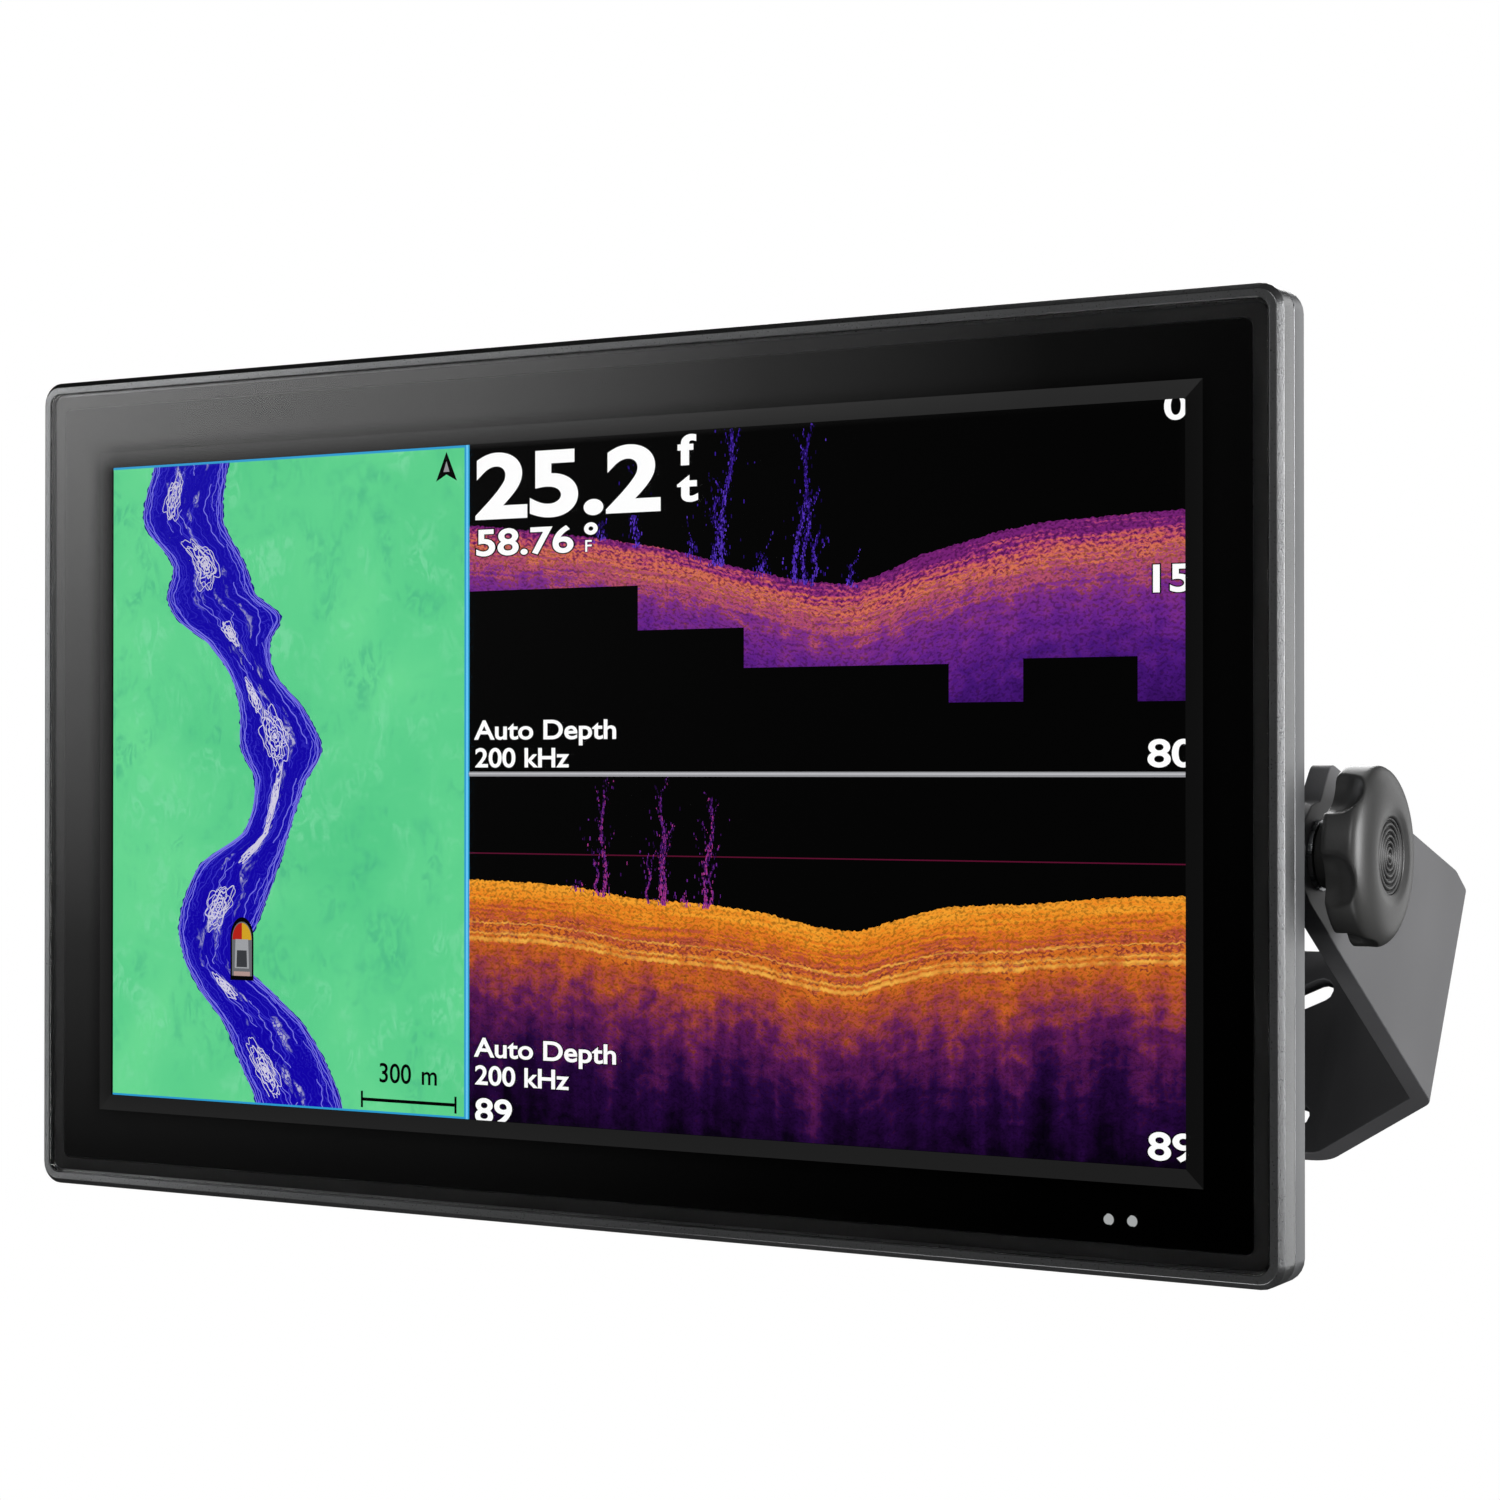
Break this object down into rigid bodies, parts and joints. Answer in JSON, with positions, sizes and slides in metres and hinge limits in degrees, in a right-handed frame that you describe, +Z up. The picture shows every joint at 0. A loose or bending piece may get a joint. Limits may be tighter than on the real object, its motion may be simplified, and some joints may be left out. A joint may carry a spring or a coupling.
{
  "type": "fish finder",
  "caption": "Touch-screen marine fish finder display in a U-shaped tilting gimbal bracket, clamped by two lobed side knobs, with sockets on the back.",
  "frame": {"origin": "centre of the bracket's mounting face", "axes": "+X to the viewer's right across the screen, +Y to the back, +Z up, with the screen upright; the mounting face leans 31 degrees from upright"},
  "size_m": [0.596, 0.307, 0.345],
  "materials": {
    "frame_metal": "fine satin, textured bright chamfer",
    "cover_metal": "satin cast",
    "black_aluminium": "black anodised",
    "powder_coat": "fine powder coat",
    "knob_plastic": "satin moulded",
    "dark_plastic": "satin moulded",
    "cover_glass": "polished, dark",
    "black_ink": "printed black",
    "display": "lit picture",
    "milky_plastic": "diffusing",
    "pale_lens": "clear grey",
    "rubber": "moulded",
    "tin_plate": "pressed sheet",
    "bare_aluminium": "machined",
    "circuit_board": "solder mask",
    "brass": "turned",
    "stainless_steel": "brushed",
    "nylon": "moulded"
  },
  "bodies": {
    "bracket": {"gimbal_bracket": "powder_coat", "left_arm_bush": "nylon", "right_arm_bush": "nylon"},
    "head": {"front_frame": "frame_metal", "cover_glass": "cover_glass", "glass_gasket": "rubber", "screen_mask": "black_ink", "lcd_panel": "display", "light_guide": "milky_plastic", "lcd_tray": "tin_plate", "status_light_pipe": "pale_lens", "light_sensor_lens": "pale_lens", "indicator_board": "circuit_board", "rear_cover": "cover_metal", "case_seal": "rubber", "main_board": "circuit_board", "power_board": "circuit_board", "heat_spreader": "bare_aluminium", "heat_sink": "black_aluminium", "io_plate": "black_aluminium", "power_socket": "dark_plastic", "transducer_socket": "dark_plastic", "network_socket": "dark_plastic", "video_socket": "dark_plastic", "pressure_vent": "dark_plastic", "cover_screw_1": "stainless_steel", "cover_screw_2": "stainless_steel", "cover_screw_3": "stainless_steel", "cover_screw_4": "stainless_steel", "cover_screw_5": "stainless_steel", "cover_screw_6": "stainless_steel", "cover_screw_7": "stainless_steel", "cover_screw_8": "stainless_steel", "cover_screw_9": "stainless_steel", "cover_screw_10": "stainless_steel", "left_pivot_ear": "powder_coat", "left_threaded_insert": "brass", "left_ear_screw_1": "stainless_steel", "left_ear_screw_2": "stainless_steel", "left_friction_pad": "rubber", "right_pivot_ear": "powder_coat", "right_threaded_insert": "brass", "right_ear_screw_1": "stainless_steel", "right_ear_screw_2": "stainless_steel", "right_friction_pad": "rubber"},
    "left_knob_carrier": {"left_knob_washer": "stainless_steel"},
    "left_knob": {"left_knob": "knob_plastic", "left_knob_stud": "stainless_steel", "left_knob_cap": "knob_plastic"},
    "right_knob_carrier": {"right_knob_washer": "stainless_steel"},
    "right_knob": {"right_knob": "knob_plastic", "right_knob_stud": "stainless_steel", "right_knob_cap": "knob_plastic"}
  },
  "joints": [
    {"name": "head_tilt", "type": "hinge", "parent": "bracket", "child": "head", "pos_m": [0, -0.21281, 0.09433], "axis": [1, 0, 0], "range_deg": [-90, 60]},
    {"name": "left_knob_slide", "type": "slide", "parent": "head", "child": "left_knob_carrier", "axis": [-1, 0, 0], "range_m": [0, 0.00376]},
    {"name": "left_knob_spin", "type": "hinge", "parent": "left_knob_carrier", "child": "left_knob", "pos_m": [0, -0.21281, 0.09433], "axis": [-1, 0, 0], "range_deg": [0, 1080]},
    {"name": "right_knob_slide", "type": "slide", "parent": "head", "child": "right_knob_carrier", "axis": [1, 0, 0], "range_m": [0, 0.00376]},
    {"name": "right_knob_spin", "type": "hinge", "parent": "right_knob_carrier", "child": "right_knob", "pos_m": [0, -0.21281, 0.09433], "axis": [1, 0, 0], "range_deg": [0, 1080]}
  ],
  "couplings": [
    {"joint": "left_knob_slide", "follows": "left_knob_spin", "m_per_rad": 0.00019894},
    {"joint": "right_knob_slide", "follows": "right_knob_spin", "m_per_rad": 0.00019894}
  ]
}
